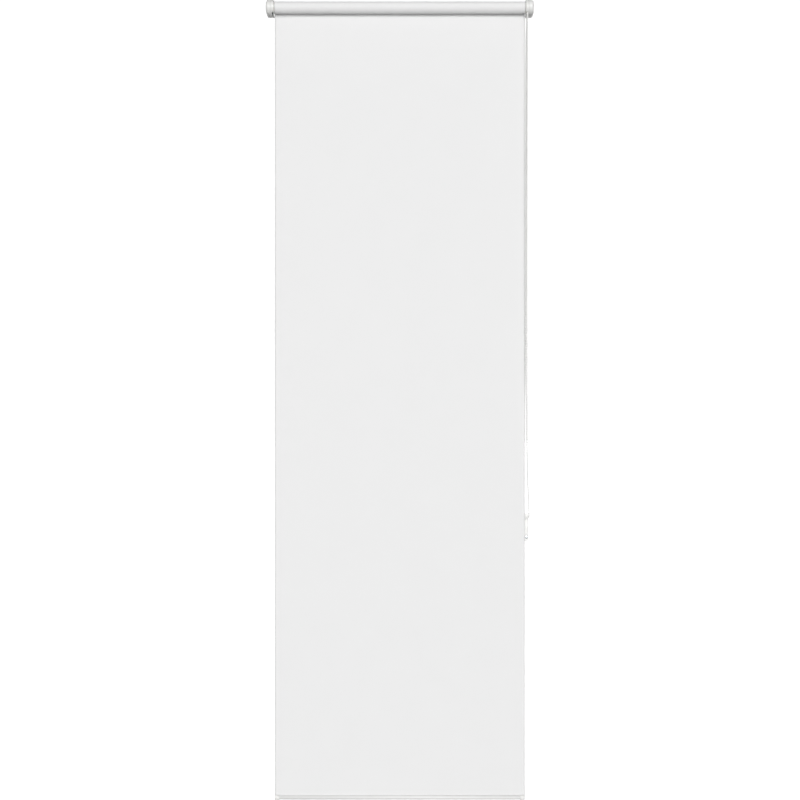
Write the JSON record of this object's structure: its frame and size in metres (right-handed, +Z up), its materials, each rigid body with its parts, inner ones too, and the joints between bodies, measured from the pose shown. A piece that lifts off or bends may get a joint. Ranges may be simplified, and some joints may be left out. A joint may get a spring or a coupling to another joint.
{
  "type": "roller blind",
  "caption": "White roller blind on wall brackets, lowered: aluminium tube, plain cloth, bottom bar, side bead chain with a wall hold-down, and covered ends.",
  "frame": {"origin": "on the wall plane, midway between the brackets, at the height of the roller's axis", "axes": "+X along the roller towards the chain end, +Y into the wall, +Z up; the room is at -Y"},
  "size_m": [0.6, 0.0608, 1.8],
  "materials": {
    "cover_plastic": "satin white ABS moulding",
    "nylon": "natural nylon moulding",
    "bracket_steel": "white powder coat on folded steel",
    "zinc_steel": "bright zinc plating",
    "spring_steel": "oiled spring steel wire",
    "tube_aluminium": "mill finish extrusion",
    "bar_aluminium": "white powder coat on an extrusion",
    "cloth": "plain weave polyester, coated",
    "chain_plastic": "white acetal balls on a polyester cord"
  },
  "bodies": {
    "root": {"left_bracket": "bracket_steel", "right_bracket": "bracket_steel", "left_housing": "cover_plastic", "chain_housing": "cover_plastic", "left_end_cover": "cover_plastic", "right_end_cover": "cover_plastic", "left_bracket_screw_upper": "zinc_steel", "left_bracket_screw_lower": "zinc_steel", "right_bracket_screw_upper": "zinc_steel", "right_bracket_screw_lower": "zinc_steel", "clutch_core": "nylon", "core_washer": "zinc_steel", "core_screw": "zinc_steel", "retaining_clip": "spring_steel", "idle_hub": "nylon", "fabric_panel": "cloth", "chain_hold_down": "cover_plastic", "hold_down_screw": "zinc_steel", "chain_over_wheel": "chain_plastic", "bead_chain_loop": "chain_plastic"},
    "roller": {"roller_tube": "tube_aluminium", "fabric_roll": "cloth", "drive_plug": "nylon", "chain_wheel": "nylon", "inner_brake_spring": "spring_steel", "outer_brake_spring": "spring_steel", "idle_plug": "nylon", "idle_pin_spring": "spring_steel"},
    "idle_pin": {"idle_pin": "zinc_steel"},
    "bar": {"bottom_bar": "bar_aluminium", "hem_rod": "chain_plastic", "left_bar_cap": "cover_plastic", "right_bar_cap": "cover_plastic"}
  },
  "joints": [
    {"name": "roller_turn", "type": "hinge", "parent": "root", "child": "roller", "pos_m": [0, -0.028, 0], "axis": [1, 0, 0], "range_deg": [0, 6840], "deforming": ["chain_over_wheel", "bead_chain_loop"]},
    {"name": "bar_travel", "type": "slide", "parent": "root", "child": "bar", "axis": [0, 0, 1], "range_m": [0, 1.735], "deforming": ["fabric_panel"]},
    {"name": "idle_pin_press", "type": "slide", "parent": "roller", "child": "idle_pin", "axis": [1, 0, 0], "range_m": [0, 0.008], "stiffness_N_per_m": 500, "springref_m": -0.004, "deforming": ["idle_pin_spring"]}
  ],
  "couplings": [
    {"joint": "bar_travel", "follows": "roller_turn", "m_per_rad": 0.01453}
  ]
}
